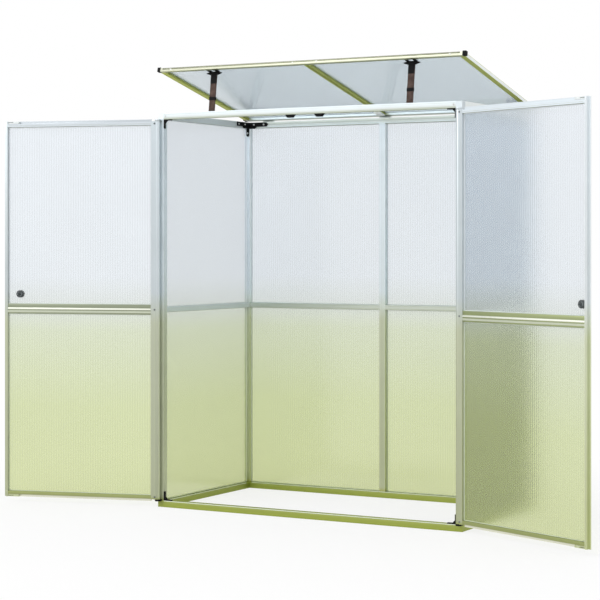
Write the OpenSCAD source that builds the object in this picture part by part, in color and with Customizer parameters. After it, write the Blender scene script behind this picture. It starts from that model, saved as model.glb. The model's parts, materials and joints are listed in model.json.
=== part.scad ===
// Upright cabinet greenhouse: aluminium frame, twin-wall panels, two front doors and a hinged roof lid.
// Millimetres, +Z up. The origin is on the ground, under the middle of the front sill.

/* [Frame] */
// Width of the frame over its posts
frame_w = 1524; // [1000:10:2400]
// Depth of the frame over its posts
frame_d = 792; // [560:10:1200]
// Height of the frame to the top of its posts
frame_h = 1800; // [1500:10:2200]
// Side of the square corner posts
post_side = 30; // [26:1:40]
// Height of the sills on the ground
sill_h = 30; // [24:1:50]
// Height of the front header
header_h = 29; // [24:1:45]
// Height of the side and rear top rails
top_rail_h = 27; // [22:1:40]
// Height of the rails halfway up the walls
wall_mid_h = 22; // [20:1:40]
// Width of the post in the middle of the rear wall
rear_mid_w = 31; // [28:1:60]
// Height above the ground of the middle of the wall and door rails
mid_z = 902; // [700:1:1100]
// Wall thickness of the aluminium profiles
profile_t = 1.5; // [1.2:0.1:2]

/* [Panels] */
// Thickness of the twin-wall panels
panel_t = 4; // [3:0.5:6]
// Depth of the grooves that hold the panels
groove_d = 8; // [6:0.5:9]
// Clearance between a panel's edge and the bottom of its groove
edge_gap = 2; // [1:0.5:3]
// Distance from the outer face of the walls to the middle of their panels
glazing_inset = 9; // [8:0.5:13]

/* [Doors] */
// Thickness of the door bars
door_t = 17; // [16:1:24]
// Radius of the bead along a door's hinge edge
door_bead_r = 11; // [9:0.5:14]
// Overhang of the closed doors beyond each side wall
door_overhang = 2; // [0:0.5:6]
// Width of the hinge stiles, bead included
hinge_stile_w = 42; // [34:1:60]
// Distance of the hinge stiles' ends from the door's upper and lower edges
stile_trim = 9; // [0:1:12]
// Width of the hollow part of the free stiles
free_stile_w = 10; // [10:1:30]
// Width of the hollow part of the doors' top and bottom rails
door_rail_w = 15; // [13:1:30]
// Width of the lip along a door's free edge
free_lip_w = 10; // [4:1:20]
// Width of the lip along a door's upper and lower edges
rail_lip_w = 12; // [4:1:20]
// Thickness of the lips, flush with the door's outer face
door_lip_t = 4; // [3:0.5:6]
// Height of the door rails at mid height
door_mid_h = 46; // [34:1:60]
// Clearance between the closed doors and the frame
door_gap = 5; // [5:0.5:8]
// Clearance between the two closed doors
meeting_gap = 5; // [5:0.5:10]
// Height of the doors' lower edge above the ground
door_bottom_z = 27; // [20:1:60]
// Distance of the doors' upper edge below the top of the frame
door_top_drop = 28; // [26:1:50]
// Opening angle of the left door
left_door_open = 164.5; // [90:0.5:175]
// Opening angle of the right door
right_door_open = 156.5; // [90:0.5:175]
// Radius of the hinge pins
pin_r = 3; // [2:0.5:4]
// Radial clearance of the hinge pins
pin_gap = 0.1; // [0.1:0.05:0.3]
// Length of the hinge pins inside a door
pin_reach = 16; // [10:1:30]
// Thickness of the hinge plates on the posts
hinge_plate_t = 7; // [3:0.5:8]
// Width of the hinge plates
hinge_plate_w = 26; // [20:1:34]
// Clearance between a door and its hinge plates
hinge_plate_gap = 1; // [0.5:0.5:3]

/* [Knobs] */
// Height of the door knobs above the ground
knob_z = 970; // [940:1:1400]
// Clearance between the left knob and its door's free stile
left_knob_gap = 43; // [1:1:90]
// Clearance between the right knob and its door's free stile
right_knob_gap = 2; // [1:1:90]
// Radius of the knob discs
knob_r = 16; // [12:1:18]
// Thickness of the knob discs
knob_t = 7; // [4:1:12]
// Radius of the spindle through the door
spindle_r = 5; // [3:0.5:7]
// Length of the spindle beyond the inner disc
spindle_reach = 20; // [10:1:30]

/* [Lid] */
// Opening angle of the roof lid
lid_open = 13.3; // [5:0.1:30]
// Thickness of the lid bars
lid_t = 16; // [14:1:30]
// Width of the lid's side, middle and rear bars
lid_bar_w = 26; // [24:1:40]
// Width of the lid's front rail
lid_front_w = 18; // [16:1:40]
// Clearance between the closed lid and the frame
lid_gap = 5; // [5:0.5:10]
// Overhang of the lid beyond each side wall
lid_side_overhang = 3; // [0:1:30]
// Overhang of the lid beyond the front of the posts
lid_front_overhang = 13; // [0:1:40]
// How far the lid's corner caps reach inwards from its sides
lid_cap_in = 8; // [4:0.5:20]
// How far the lid's corner caps stand out beyond its sides
lid_cap_out = 8.5; // [0:0.5:14]
// Height of the corner caps above the lid bars
lid_cap_rise = 4; // [0:0.5:8]
// Number of hinges along the rear edge of the lid
lid_hinge_count = 3; // [2:1:5]
// Length of a lid hinge along the rear edge
lid_hinge_l = 60; // [40:2:90]

/* [Stays] */
// Distance of each stay from the outer face of the side wall
stay_inset = 264; // [120:2:500]
// Length of a stay from its pivot to its foot
stay_l = 192; // [186:1:198]
// Width of the stay straps
stay_w = 30; // [20:1:40]
// Thickness of the stay straps
stay_t = 6; // [4:0.5:8]
// Distance of the stay pivots below the closed lid
stay_pivot_drop = 2; // [0:0.5:8]
// Width of the stay brackets on the lid
stay_bracket_w = 79; // [60:1:100]

/* [Hidden] */
$fn = 48;

aluminium = "gainsboro";
clear_sheet = "aliceblue";
black_plastic = [0.12, 0.12, 0.13];
brown_plastic = [0.34, 0.28, 0.26];

// Room left around a cut so that it passes right through
cut = 1;

// Frame planes
side_x = frame_w / 2;
front_y = -post_side / 2;
rear_y = front_y + frame_d;
post_x = side_x - post_side / 2;
rear_post_y = rear_y - post_side / 2;
side_span = frame_d - 2 * post_side;
side_mid_y = (front_y + rear_y) / 2;
front_span = frame_w - 2 * post_side;
rear_bay_w = (front_span - rear_mid_w) / 2;
rear_bay_x = (rear_mid_w + rear_bay_w) / 2;
// Offset of the panels' middle from the middle of a post
glazing_off = post_side / 2 - glazing_inset;
side_glazing_x = side_x - glazing_inset;
rear_glazing_y = rear_y - glazing_inset;
// How far a panel reaches into a groove
bite = groove_d - edge_gap;
wall_top_z = frame_h - top_rail_h;
lower_panel_top_z = mid_z - wall_mid_h / 2;
upper_panel_bottom_z = mid_z + wall_mid_h / 2;

// Doors, in the frame of their hinge axis
hinge_x = side_x + door_overhang - door_bead_r;
hinge_y = front_y - door_gap - door_bead_r;
door_reach = hinge_x - meeting_gap / 2;
door_top_z = frame_h - door_top_drop;
stile_bottom_z = door_bottom_z + stile_trim;
stile_top_z = door_top_z - stile_trim;
stile_edge = hinge_stile_w - door_bead_r;
free_edge = door_reach - free_stile_w - free_lip_w;
door_bay_w = free_edge - stile_edge;
door_bay_x = (free_edge + stile_edge) / 2;
door_bay_bottom_z = door_bottom_z + rail_lip_w + door_rail_w;
door_bay_top_z = door_top_z - rail_lip_w - door_rail_w;
// The panels lie in the outer half of the door's thickness
door_panel_y = profile_t + panel_t / 2 - door_t / 2;
knob_bore_gap = 0.3;

// Lid, in its closed place
lid_bottom_z = frame_h + lid_gap;
lid_mid_z = lid_bottom_z + lid_t / 2;
// The panels lie in the upper half of the lid's thickness
lid_panel_rise = lid_t / 2 - profile_t - panel_t / 2;
lid_front_y = front_y - lid_front_overhang;
lid_side_x = side_x + lid_side_overhang;
lid_bay_front_y = lid_front_y + lid_front_w;
lid_bay_rear_y = rear_y - lid_bar_w;
lid_bay_d = lid_bay_rear_y - lid_bay_front_y;
lid_bay_y = (lid_bay_front_y + lid_bay_rear_y) / 2;
lid_bay_w = lid_side_x - lid_bar_w * 1.5;
lid_bay_x = (lid_side_x - lid_bar_w / 2) / 2;
lid_knuckle_r = 6;
lid_leaf_t = 2;
lid_axis_y = rear_y + lid_knuckle_r;
lid_axis_z = frame_h + lid_gap / 2;
lid_knuckle_l = lid_hinge_l / 3;
lid_knuckle_gap = 0.5;
lid_hinge_inset = 120;
lid_hinge_x0 = side_x - lid_hinge_inset;

// Stays
stay_x = side_x - stay_inset;
stay_eye_r = 8;
stay_axle_r = 5;
stay_eye_side_gap = 1;
lug_l = 6;
stay_clear = 5.5;
header_back_y = front_y + post_side;
pivot_closed = [header_back_y + stay_clear + stay_eye_r, lid_bottom_z - stay_pivot_drop];
foot_y = header_back_y + stay_clear + stay_t / 2;

// A point [y, z] turned about the lid hinge by angle a
function about_lid_hinge(p, a) = [
    lid_axis_y + (p[0] - lid_axis_y) * cos(a) - (p[1] - lid_axis_z) * sin(a),
    lid_axis_z + (p[0] - lid_axis_y) * sin(a) + (p[1] - lid_axis_z) * cos(a)
];
pivot_open = about_lid_hinge(pivot_closed, -lid_open);
stay_lean = asin((pivot_open[0] - foot_y) / stay_l);

// ---- Profiles ----

// Rectangle sunk into one side of a w by h section: side is "left", "right", "down" or "up"
module side_slot(w, h, side, off, depth, width) {
    if (side == "left") translate([-w / 2 - cut, off - width / 2]) square([depth + cut, width]);
    if (side == "right") translate([w / 2 - depth, off - width / 2]) square([depth + cut, width]);
    if (side == "down") translate([off - width / 2, -h / 2 - cut]) square([width, depth + cut]);
    if (side == "up") translate([off - width / 2, h / 2 - depth]) square([width, depth + cut]);
}

// Hollow w by h section with a glazing groove for each [side, offset] in grooves
module hollow_section(w, h, grooves) {
    difference() {
        square([w, h], center = true);
        difference() {
            square([w - 2 * profile_t, h - 2 * profile_t], center = true);
            for (g = grooves)
                side_slot(w, h, g[0], g[1], groove_d + profile_t, panel_t + 2 * profile_t);
        }
        for (g = grooves) side_slot(w, h, g[0], g[1], groove_d, panel_t);
    }
}

// Section drawn in X and Z, run along Y
module along_y(l) {
    rotate([90, 0, 0]) linear_extrude(height = l, center = true) children();
}

// Section drawn in Y and Z, run along X
module along_x(l) {
    rotate([90, 0, 90]) linear_extrude(height = l, center = true) children();
}

// ---- Frame ----

module front_sill() {
    color(aluminium)
    translate([0, 0, sill_h / 2])
    along_x(front_span) hollow_section(post_side, sill_h, []);
}

module rear_sill() {
    color(aluminium)
    translate([0, rear_post_y, sill_h / 2])
    along_x(front_span) hollow_section(post_side, sill_h, [["up", glazing_off]]);
}

// side is -1 on the left and 1 on the right
module side_sill(side) {
    color(aluminium)
    translate([side * post_x, side_mid_y, sill_h / 2])
    along_y(side_span) hollow_section(post_side, sill_h, [["up", side * glazing_off]]);
}

module front_post(side) {
    color(aluminium)
    translate([side * post_x, 0, 0])
    linear_extrude(height = frame_h)
    hollow_section(post_side, post_side, [["up", side * glazing_off]]);
}

module rear_post(side) {
    color(aluminium)
    translate([side * post_x, rear_post_y, 0])
    linear_extrude(height = frame_h)
    hollow_section(post_side, post_side,
        [["down", side * glazing_off], [side < 0 ? "right" : "left", glazing_off]]);
}

module rear_middle_post() {
    color(aluminium)
    translate([0, rear_post_y, sill_h])
    linear_extrude(height = wall_top_z - sill_h)
    hollow_section(rear_mid_w, post_side, [["left", glazing_off], ["right", glazing_off]]);
}

module front_header() {
    color(aluminium)
    translate([0, 0, frame_h - header_h / 2])
    along_x(front_span) hollow_section(post_side, header_h, []);
}

module rear_top_rail() {
    color(aluminium)
    translate([0, rear_post_y, frame_h - top_rail_h / 2])
    along_x(front_span) hollow_section(post_side, top_rail_h, [["down", glazing_off]]);
}

module side_top_rails() {
    color(aluminium)
    for (side = [-1, 1])
        translate([side * post_x, side_mid_y, frame_h - top_rail_h / 2])
        along_y(side_span) hollow_section(post_side, top_rail_h, [["down", side * glazing_off]]);
}

module side_mid_rails() {
    color(aluminium)
    for (side = [-1, 1])
        translate([side * post_x, side_mid_y, mid_z])
        along_y(side_span)
        hollow_section(post_side, wall_mid_h,
            [["down", side * glazing_off], ["up", side * glazing_off]]);
}

module rear_mid_rails() {
    color(aluminium)
    for (side = [-1, 1])
        translate([side * rear_bay_x, rear_post_y, mid_z])
        along_x(rear_bay_w)
        hollow_section(post_side, wall_mid_h, [["down", glazing_off], ["up", glazing_off]]);
}

// Upper and lower panel of a bay: w wide, centred on X, panel plane at Y = 0
module bay_panels(w, bottom_z, lower_top_z, upper_bottom_z, top_z) {
    translate([-w / 2 - bite, -panel_t / 2, bottom_z - bite])
    cube([w + 2 * bite, panel_t, lower_top_z - bottom_z + 2 * bite]);
    translate([-w / 2 - bite, -panel_t / 2, upper_bottom_z - bite])
    cube([w + 2 * bite, panel_t, top_z - upper_bottom_z + 2 * bite]);
}

module side_wall_panels(side) {
    color(clear_sheet)
    translate([side * side_glazing_x, side_mid_y, 0])
    rotate([0, 0, 90])
    bay_panels(side_span, sill_h, lower_panel_top_z, upper_panel_bottom_z, wall_top_z);
}

module rear_wall_panels() {
    color(clear_sheet)
    for (side = [-1, 1])
        translate([side * rear_bay_x, rear_glazing_y, 0])
        bay_panels(rear_bay_w, sill_h, lower_panel_top_z, upper_panel_bottom_z, wall_top_z);
}

// ---- Fittings on the frame ----

plate_t = 3;
plate_w = 21;
plate_rise = 5;
plate_arm = 96;
plate_side_arm = 120;
plate_leg = 42;
plate_leg_x = 1.5;
plate_leg_w = post_side - glazing_inset - panel_t / 2 - 2 * plate_leg_x;
plate_heel = 4;
plate_heel_l = 32;
plate_side_heel_l = 59;

// Three-armed plate in a rear top corner: origin at the post's inner edge, under the top rails
module corner_bracket() {
    leg_x = -plate_leg_x - plate_leg_w;
    leg_z = plate_leg_w / 2 - plate_leg;
    slope = plate_heel + plate_rise;
    rotate([90, 0, 0])
    linear_extrude(height = plate_t)
    union() {
        polygon([
            [leg_x, 0], [leg_x, leg_z], [-plate_leg_x, leg_z], [-plate_leg_x, -plate_heel],
            [plate_heel_l, -plate_heel], [plate_heel_l + slope, plate_rise], [plate_arm, plate_rise],
            [plate_arm + plate_w / 2, plate_rise + plate_w / 2], [plate_arm, plate_rise + plate_w],
            [0, plate_rise + plate_w], [0, 0]
        ]);
        translate([leg_x + plate_leg_w / 2, leg_z]) circle(r = plate_leg_w / 2);
    }
    translate([plate_t / 2, 0, 0])
    along_x(plate_t)
    polygon([
        [0, -plate_heel], [-plate_side_heel_l, -plate_heel], [-plate_side_heel_l - slope, plate_rise],
        [-plate_side_arm, plate_rise], [-plate_side_arm, plate_rise + plate_w], [0, plate_rise + plate_w]
    ]);
}

module rear_corner_brackets() {
    color(black_plastic)
    for (side = [-1, 1])
        mirror([side > 0 ? 1 : 0, 0, 0])
        translate([-side_x + post_side, rear_y - post_side, wall_top_z])
        corner_bracket();
}

gusset_leg = 41;
gusset_t = 5;
gusset_d = 12;
gusset_web = 12;
gusset_inset = 1;

// L-shaped corner piece with a short diagonal web, legs along +X and +Z
module gusset() {
    along_y(gusset_d)
    polygon([
        [0, 0], [gusset_leg, 0], [gusset_leg, gusset_t], [gusset_t + gusset_web, gusset_t],
        [gusset_t, gusset_t + gusset_web], [gusset_t, gusset_leg], [0, gusset_leg]
    ]);
}

module front_corner_gussets() {
    gusset_y = front_y + gusset_inset + gusset_d / 2;
    color(black_plastic)
    for (side = [-1, 1]) {
        mirror([side > 0 ? 1 : 0, 0, 0])
        translate([-front_span / 2, gusset_y, sill_h])
        gusset();
        mirror([side > 0 ? 1 : 0, 0, 0])
        translate([-front_span / 2, gusset_y, frame_h - header_h])
        mirror([0, 0, 1])
        gusset();
    }
}

catch_x = 73;
catch_w = 46;
catch_h = 13;
catch_taper = 10;
catch_d = 18;

module door_catches() {
    color(black_plastic)
    for (side = [-1, 1])
        translate([side * catch_x, 0, frame_h - header_h])
        along_y(catch_d)
        polygon([
            [-catch_w / 2, 0], [catch_w / 2, 0],
            [catch_w / 2 - catch_taper, -catch_h], [-catch_w / 2 + catch_taper, -catch_h]
        ]);
}

// Plate on the front of a post with a pin that stands up into the door
module door_hinge_plate() {
    translate([-hinge_plate_w / 2, 0, -hinge_plate_t])
    cube([hinge_plate_w, door_bead_r + door_gap, hinge_plate_t]);
    translate([0, 0, -hinge_plate_t]) cylinder(r = hinge_plate_w / 2, h = hinge_plate_t);
    cylinder(r = pin_r, h = pin_reach + hinge_plate_gap);
}

module door_hinge_plates() {
    color(black_plastic)
    for (side = [-1, 1])
        translate([side * hinge_x, hinge_y, stile_bottom_z - hinge_plate_gap]) door_hinge_plate();
}

module door_top_hinge_plates() {
    color(aluminium)
    for (side = [-1, 1])
        translate([side * hinge_x, hinge_y, stile_top_z + hinge_plate_gap])
        mirror([0, 0, 1]) door_hinge_plate();
}

leaf_drop = lid_knuckle_r - lid_gap / 2;
leaf_foot = 2.5;
lid_leaf_margin = 2;

function lid_hinge_xs() = [
    for (i = [0 : lid_hinge_count - 1])
        -lid_hinge_x0 + i * 2 * lid_hinge_x0 / (lid_hinge_count - 1)
];

// Round knuckle along X, bored for the lid's hinge pin
module bored_knuckle(l) {
    rotate([0, 90, 0])
    difference() {
        cylinder(r = lid_knuckle_r, h = l, center = true);
        cylinder(r = pin_r + pin_gap, h = l + 2 * cut, center = true);
    }
}

module lid_hinge_leaves() {
    leaf_h = top_rail_h - leaf_drop - leaf_foot;
    middle_l = lid_knuckle_l - 2 * lid_knuckle_gap;
    color(aluminium)
    for (x = lid_hinge_xs()) {
        translate([x - lid_hinge_l / 2, rear_y, frame_h - leaf_h - leaf_drop])
        cube([lid_hinge_l, lid_leaf_t, leaf_h]);
        translate([x, lid_axis_y, lid_axis_z])
        difference() {
            union() {
                bored_knuckle(middle_l);
                translate([-middle_l / 2, -lid_knuckle_r, -lid_knuckle_r])
                cube([middle_l, lid_leaf_t, lid_knuckle_r]);
            }
            rotate([0, 90, 0]) cylinder(r = pin_r + pin_gap, h = lid_hinge_l, center = true);
        }
    }
}

// ---- Doors: hinge axis on Z, door along +X, inner face towards +Y ----

// Turns a door about its own hinge axis; side is -1 on the left and 1 on the right
module door_place(side) {
    translate([side * hinge_x, hinge_y, 0])
    rotate([0, 0, side < 0 ? -left_door_open : right_door_open])
    mirror([side > 0 ? 1 : 0, 0, 0])
    children();
}

module door_hinge_stile() {
    translate([0, 0, stile_bottom_z])
    linear_extrude(height = stile_top_z - stile_bottom_z)
    difference() {
        union() {
            circle(r = door_bead_r);
            translate([0, -door_t / 2]) square([stile_edge, door_t]);
        }
        circle(r = pin_r + pin_gap);
        translate([stile_edge - groove_d, door_panel_y - panel_t / 2]) square([groove_d + cut, panel_t]);
    }
}

// Hollow bar on the panels' edge, with a lip flush with the outer face beyond it
module door_free_stile() {
    translate([free_edge + free_stile_w / 2, 0, door_bottom_z])
    linear_extrude(height = door_top_z - door_bottom_z)
    union() {
        hollow_section(free_stile_w, door_t, [["left", door_panel_y]]);
        translate([free_stile_w / 2 - profile_t, -door_t / 2]) square([free_lip_w + profile_t, door_lip_t]);
    }
}

// Section of the top rail in Y and Z: hollow part with a groove below and a lip above
module door_rail_section() {
    hollow_section(door_t, door_rail_w, [["down", door_panel_y]]);
    translate([-door_t / 2, door_rail_w / 2 - profile_t]) square([door_lip_t, rail_lip_w + profile_t]);
}

mid_relief = 2;
mid_foot = 6;
mid_band_h = 9;
mid_groove_h = 5;
mid_rib_h = 8;

// Section of the rail at mid height, in Y and Z: grooves above and below, a band and a rib on the inside
module door_mid_section() {
    band_z = mid_foot - door_mid_h / 2;
    rib_z = band_z + mid_band_h + mid_groove_h;
    hollow_w = door_t - mid_relief - 2 * profile_t;
    difference() {
        union() {
            translate([-door_t / 2, -door_mid_h / 2]) square([door_t - mid_relief, door_mid_h]);
            translate([0, band_z]) square([door_t / 2, mid_band_h]);
            translate([0, rib_z]) square([door_t / 2, mid_rib_h]);
        }
        difference() {
            translate([profile_t - door_t / 2, profile_t - door_mid_h / 2])
            square([hollow_w, door_mid_h - 2 * profile_t]);
            for (s = ["up", "down"])
                side_slot(door_t, door_mid_h, s, door_panel_y, groove_d + profile_t, panel_t + 2 * profile_t);
        }
        for (s = ["up", "down"]) side_slot(door_t, door_mid_h, s, door_panel_y, groove_d, panel_t);
    }
}

module door_rails() {
    translate([door_bay_x, 0, door_bay_bottom_z - door_rail_w / 2])
    mirror([0, 0, 1])
    along_x(door_bay_w) door_rail_section();
    translate([door_bay_x, 0, door_bay_top_z + door_rail_w / 2])
    along_x(door_bay_w) door_rail_section();
    translate([door_bay_x, 0, mid_z])
    along_x(door_bay_w) door_mid_section();
}

// Distance of a knob's middle from the hinge axis
function knob_x(gap) = free_edge - gap - knob_r;

module door_panels(knob_gap) {
    difference() {
        translate([door_bay_x, door_panel_y, 0])
        bay_panels(door_bay_w, door_bay_bottom_z, mid_z - door_mid_h / 2, mid_z + door_mid_h / 2,
            door_bay_top_z);
        translate([knob_x(knob_gap), door_panel_y, knob_z])
        rotate([90, 0, 0])
        cylinder(r = spindle_r + knob_bore_gap, h = panel_t + 2 * cut, center = true);
    }
}

module door_knob(knob_gap) {
    color(black_plastic)
    translate([knob_x(knob_gap), door_panel_y, knob_z])
    rotate([-90, 0, 0]) {
        translate([0, 0, -panel_t / 2 - knob_t])
        cylinder(r = spindle_r, h = panel_t + 2 * knob_t + spindle_reach);
        translate([0, 0, panel_t / 2]) cylinder(r = knob_r, h = knob_t);
        translate([0, 0, -panel_t / 2 - knob_t]) cylinder(r = knob_r, h = knob_t);
    }
}

module left_door_hinge_stile() { color(aluminium) door_place(-1) door_hinge_stile(); }
module left_door_free_stile() { color(aluminium) door_place(-1) door_free_stile(); }
module left_door_rails() { color(aluminium) door_place(-1) door_rails(); }
module left_door_panels() { color(clear_sheet) door_place(-1) door_panels(left_knob_gap); }
module left_door_knob() { door_place(-1) door_knob(left_knob_gap); }
module right_door_hinge_stile() { color(aluminium) door_place(1) door_hinge_stile(); }
module right_door_free_stile() { color(aluminium) door_place(1) door_free_stile(); }
module right_door_rails() { color(aluminium) door_place(1) door_rails(); }
module right_door_panels() { color(clear_sheet) door_place(1) door_panels(right_knob_gap); }
module right_door_knob() { door_place(1) door_knob(right_knob_gap); }

// ---- Lid: drawn closed, then turned up about its rear hinge ----

module lid_place() {
    translate([0, lid_axis_y, lid_axis_z])
    rotate([-lid_open, 0, 0])
    translate([0, -lid_axis_y, -lid_axis_z])
    children();
}

module lid_front_rail() {
    color(aluminium)
    lid_place()
    translate([0, lid_front_y + lid_front_w / 2, lid_mid_z])
    along_x(2 * (lid_side_x - lid_cap_in))
    hollow_section(lid_front_w, lid_t, [["right", lid_panel_rise]]);
}

module lid_rear_rail() {
    color(aluminium)
    lid_place()
    translate([0, rear_y - lid_bar_w / 2, lid_mid_z])
    along_x(2 * (lid_side_x - lid_cap_in))
    hollow_section(lid_bar_w, lid_t, [["left", lid_panel_rise]]);
}

module lid_side_rails() {
    color(aluminium)
    lid_place()
    for (side = [-1, 1])
        translate([side * (lid_side_x - lid_bar_w / 2), lid_bay_y, lid_mid_z])
        along_y(lid_bay_d)
        hollow_section(lid_bar_w, lid_t, [[side < 0 ? "right" : "left", lid_panel_rise]]);
}

module lid_middle_bar() {
    color(aluminium)
    lid_place()
    translate([0, lid_bay_y, lid_mid_z])
    along_y(lid_bay_d)
    hollow_section(lid_bar_w, lid_t, [["left", lid_panel_rise], ["right", lid_panel_rise]]);
}

module lid_panels() {
    color(clear_sheet)
    lid_place()
    for (side = [-1, 1])
        translate([side * lid_bay_x, lid_bay_y, lid_mid_z + lid_panel_rise])
        cube([lid_bay_w + 2 * bite, lid_bay_d + 2 * bite, panel_t], center = true);
}

// Cap on the ends of a rail w wide whose front is at Y = y
module rail_caps(y, w) {
    for (x = [lid_cap_in - lid_side_x, lid_side_x + lid_cap_out])
        translate([x - lid_cap_in - lid_cap_out, y, lid_bottom_z])
        cube([lid_cap_in + lid_cap_out, w, lid_t + lid_cap_rise]);
}

module lid_corner_caps() {
    color(black_plastic)
    lid_place() {
        rail_caps(lid_front_y, lid_front_w);
        rail_caps(rear_y - lid_bar_w, lid_bar_w);
    }
}

module lid_hinge_knuckles() {
    leaf_h = lid_t - 2 * lid_leaf_margin;
    color(aluminium)
    lid_place()
    for (x = lid_hinge_xs()) {
        translate([x - lid_hinge_l / 2, rear_y, lid_bottom_z + lid_leaf_margin])
        cube([lid_hinge_l, lid_leaf_t, leaf_h]);
        translate([x, lid_axis_y, lid_axis_z])
        rotate([0, 90, 0]) cylinder(r = pin_r, h = lid_hinge_l, center = true);
        for (side = [-1, 1])
            translate([x + side * lid_knuckle_l, lid_axis_y, lid_axis_z]) {
                rotate([0, 90, 0]) cylinder(r = lid_knuckle_r, h = lid_knuckle_l, center = true);
                translate([-lid_knuckle_l / 2, -lid_knuckle_r, 0])
                cube([lid_knuckle_l, lid_leaf_t, lid_gap / 2 + lid_leaf_margin + leaf_h]);
            }
    }
}

flange_gap = 1;
wing_r = 7;
wing_tip_r = 2;

// Bracket on the back of the lid's front rail, with an axle for the stay
module stay_bracket() {
    lug_x = stay_w / 2 + stay_eye_side_gap;
    half_l = lug_x + lug_l;
    point_l = stay_bracket_w / 2 - half_l;
    flange_z = stay_pivot_drop + flange_gap;
    flange_h = lid_t / 2 + lid_panel_rise - panel_t / 2 - 2 * flange_gap;
    reach = pivot_closed[0] - lid_bay_front_y;
    for (side = [-1, 1])
        translate([side * (lug_x + lug_l / 2), 0, 0]) {
            rotate([0, 90, 0]) cylinder(r = stay_eye_r, h = lug_l, center = true);
            along_x(lug_l)
            polygon([
                [-reach, flange_z], [-stay_eye_r, flange_z], [-stay_eye_r, 0],
                [stay_eye_r, 0], [stay_eye_r, flange_z + flange_h], [-reach, flange_z + flange_h]
            ]);
        }
    translate([-half_l, -reach, flange_z])
    cube([2 * half_l, lug_l / 2, flange_h]);
    rotate([0, 90, 0]) cylinder(r = stay_axle_r, h = 2 * half_l, center = true);
    for (side = [-1, 1])
        translate([side * half_l, 0, 0])
        rotate([0, side * 90, 0])
        cylinder(r1 = wing_r, r2 = wing_tip_r, h = point_l);
}

module lid_stay_brackets() {
    color(black_plastic)
    lid_place()
    for (side = [-1, 1])
        translate([side * stay_x, pivot_closed[0], pivot_closed[1]])
        stay_bracket();
}

// ---- Stays: pivot on X, strap hanging along -Z, then leaned towards the header ----

module stay_place(side) {
    translate([side * stay_x, pivot_open[0], pivot_open[1]])
    rotate([-stay_lean, 0, 0])
    children();
}

sleeve_t = 1.5;
upper_sleeve_end = 48;
band_top = 110;
band_l = 15;
strap_top = stay_eye_r + 1;
rib_groove_w = 3;
rib_groove_d = 1;

// Strap with two shallow grooves down the front face of its lower end
module stay_strap() {
    difference() {
        translate([-stay_w / 2, -stay_t / 2, -stay_l])
        cube([stay_w, stay_t, stay_l - strap_top]);
        for (x = [-stay_w / 6, stay_w / 6])
            translate([x - rib_groove_w / 2, -stay_t / 2 - cut, -stay_l - cut])
            cube([rib_groove_w, rib_groove_d + cut, stay_l - band_top - band_l + cut]);
    }
}

// Pivot eye with its sleeve, and a band further down the strap
module stay_sleeves() {
    difference() {
        union() {
            rotate([0, 90, 0]) cylinder(r = stay_eye_r, h = stay_w, center = true);
            translate([-stay_w / 2, -stay_t / 2 - sleeve_t, -upper_sleeve_end])
            cube([stay_w, stay_t + 2 * sleeve_t, upper_sleeve_end]);
        }
        rotate([0, 90, 0]) cylinder(r = stay_axle_r + pin_gap, h = stay_w + 2 * cut, center = true);
        translate([-stay_w / 2 - cut, -stay_t / 2, -upper_sleeve_end - cut])
        cube([stay_w + 2 * cut, stay_t, upper_sleeve_end + cut - strap_top]);
    }
    translate([0, 0, -band_top - band_l])
    linear_extrude(height = band_l)
    difference() {
        square([stay_w + 2 * sleeve_t, stay_t + 2 * sleeve_t], center = true);
        square([stay_w, stay_t], center = true);
    }
}

module left_stay_strap() { color(brown_plastic) stay_place(-1) stay_strap(); }
module left_stay_sleeves() { color(black_plastic) stay_place(-1) stay_sleeves(); }
module right_stay_strap() { color(brown_plastic) stay_place(1) stay_strap(); }
module right_stay_sleeves() { color(black_plastic) stay_place(1) stay_sleeves(); }

front_sill();
rear_sill();
side_sill(-1);  // left_sill
side_sill(1);  // right_sill
front_post(-1);  // front_left_post
front_post(1);  // front_right_post
rear_post(-1);  // rear_left_post
rear_post(1);  // rear_right_post
rear_middle_post();
front_header();
rear_top_rail();
side_top_rails();
side_mid_rails();
rear_mid_rails();
side_wall_panels(-1);  // left_wall_panels
side_wall_panels(1);  // right_wall_panels
rear_wall_panels();
rear_corner_brackets();
front_corner_gussets();
door_catches();
door_hinge_plates();
door_top_hinge_plates();
lid_hinge_leaves();
left_door_hinge_stile();
left_door_free_stile();
left_door_rails();
left_door_panels();
left_door_knob();
right_door_hinge_stile();
right_door_free_stile();
right_door_rails();
right_door_panels();
right_door_knob();
lid_front_rail();
lid_rear_rail();
lid_side_rails();
lid_middle_bar();
lid_panels();
lid_corner_caps();
lid_hinge_knuckles();
lid_stay_brackets();
left_stay_strap();
left_stay_sleeves();
right_stay_strap();
right_stay_sleeves();
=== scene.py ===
# Cabinet greenhouse: aluminium frame, twin-wall sheets, two doors and a roof lid on stays
import json
import math

import bmesh
import bpy
from mathutils import Matrix, Vector


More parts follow.
